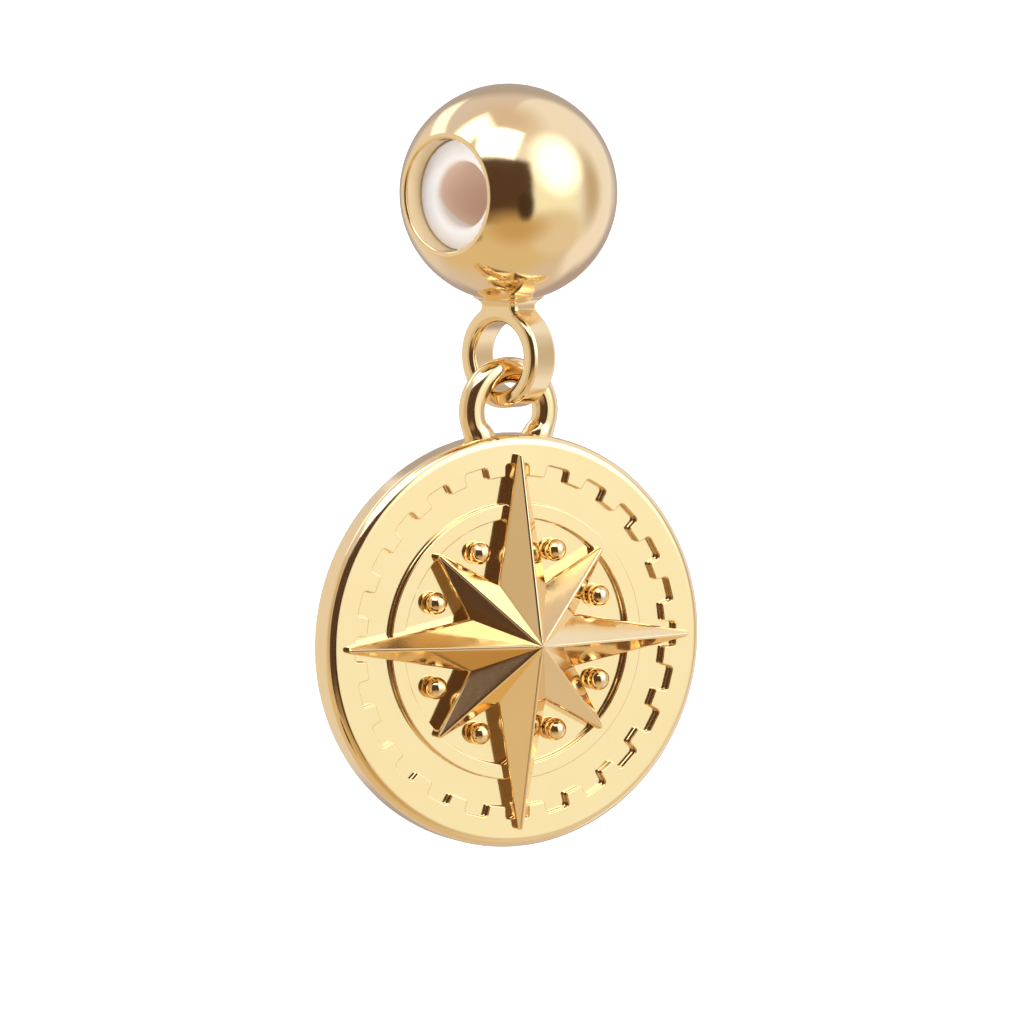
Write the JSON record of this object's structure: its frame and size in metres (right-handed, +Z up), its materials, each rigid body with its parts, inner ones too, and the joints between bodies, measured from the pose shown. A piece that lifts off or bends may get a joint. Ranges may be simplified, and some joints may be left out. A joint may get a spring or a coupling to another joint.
{
  "type": "compass pendant on a silicone-lined bracelet bead",
  "caption": "Round gold-coloured compass medallion with a raised star, hanging by a loop from the ring of a small silicone-lined bead that threads onto a bracelet.",
  "frame": {"origin": "centre of the bead, in the middle of the bore that the bracelet runs through", "axes": "+X along the bore, +Z up towards the top of the bead; the medallion hangs towards -Z and its face looks towards -Y, turned 20 degrees towards -X"},
  "size_m": [0.0146, 0.008, 0.0281],
  "materials": {
    "gold_plate": "mirror polished gold plating",
    "white_silicone": "satin moulded silicone"
  },
  "bodies": {
    "bead_body": {"bead": "gold_plate", "silicone_insert": "white_silicone"},
    "medallion_body": {"medallion": "gold_plate"}
  },
  "joints": [
    {"name": "medallion_swing", "type": "hinge", "parent": "bead_body", "child": "medallion_body", "pos_m": [0, 0, -0.006], "axis": [1, 0, 0], "range_deg": [-120, 120]}
  ]
}
